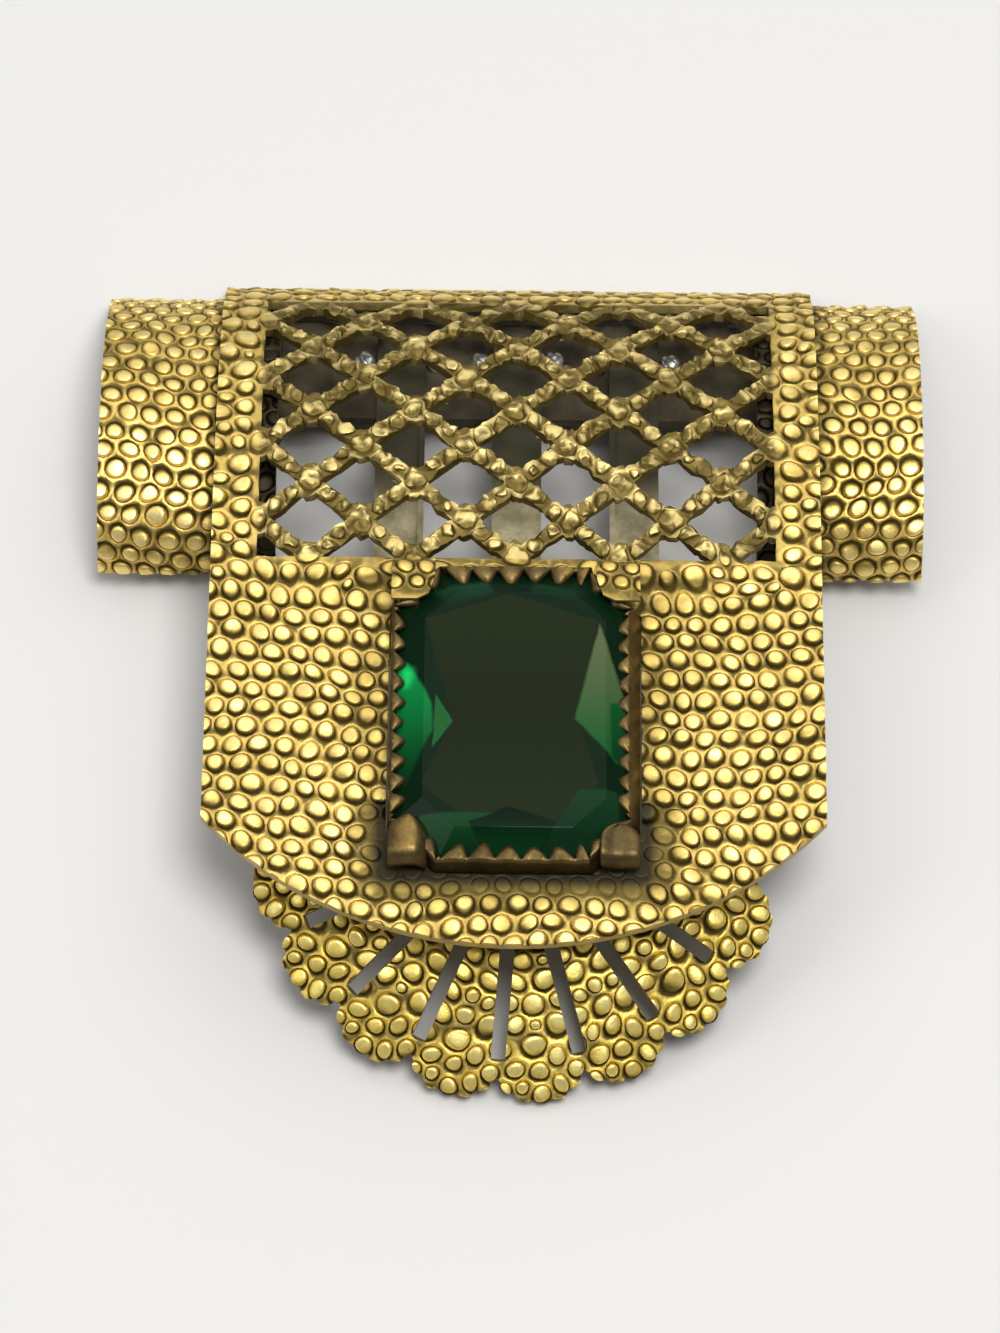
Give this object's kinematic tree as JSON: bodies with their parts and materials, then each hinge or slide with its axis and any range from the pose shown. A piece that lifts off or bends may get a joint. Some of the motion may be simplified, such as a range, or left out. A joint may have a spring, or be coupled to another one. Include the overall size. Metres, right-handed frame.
{
  "type": "brooch",
  "caption": "Stamped dress brooch: lattice-pierced plate over a half-round bar, clawed rectangular stone, scalloped fan, hinged pin and roll-over catch.",
  "frame": {"origin": "the middle of the brooch's outline, on the table that it lies on with its back down", "axes": "+X to the brooch's right as it is worn and seen, from the pin's hinge to its catch, +Y to its top edge, +Z out of its face"},
  "size_m": [0.047, 0.053, 0.0098],
  "materials": {
    "pebbled_brass": "stamped with small domed pebbles, gilt on the high spots and olive brown in the recesses",
    "plain_brass": "plain, dull and tarnished grey brown",
    "bronzed_setting": "plain stamped metal, worn and bronzed",
    "green_glass": "polished faceted glass",
    "foil": "bright thin foil",
    "solder": "bright soft solder",
    "hardware_brass": "plain stamped and turned metal, lightly tarnished",
    "pin_metal": "drawn hard wire, lightly polished"
  },
  "bodies": {
    "brooch": {"back_rail": "plain_brass", "catch_housing": "hardware_brass", "fan": "pebbled_brass", "foil_backing": "foil", "front_plate": "pebbled_brass", "hinge_bracket": "hardware_brass", "hinge_rivet": "pin_metal", "left_wing": "pebbled_brass", "right_wing": "pebbled_brass", "solder_beads": "solder", "stone": "green_glass", "stone_setting": "bronzed_setting", "strap_center": "plain_brass", "strap_left": "plain_brass", "strap_right": "plain_brass"},
    "pin": {"pin_stem": "pin_metal"},
    "rotor": {"catch_rotor": "hardware_brass"}
  },
  "joints": [
    {"name": "pin_swing", "type": "hinge", "parent": "brooch", "child": "pin", "pos_m": [-0.0175, 0.01935, 0.00135], "axis": [0, 1, 0], "range_deg": [0, 75]},
    {"name": "catch_roll", "type": "hinge", "parent": "brooch", "child": "rotor", "pos_m": [0.0175, 0.01935, 0.00135], "axis": [1, 0, 0], "range_deg": [0, 150]}
  ]
}
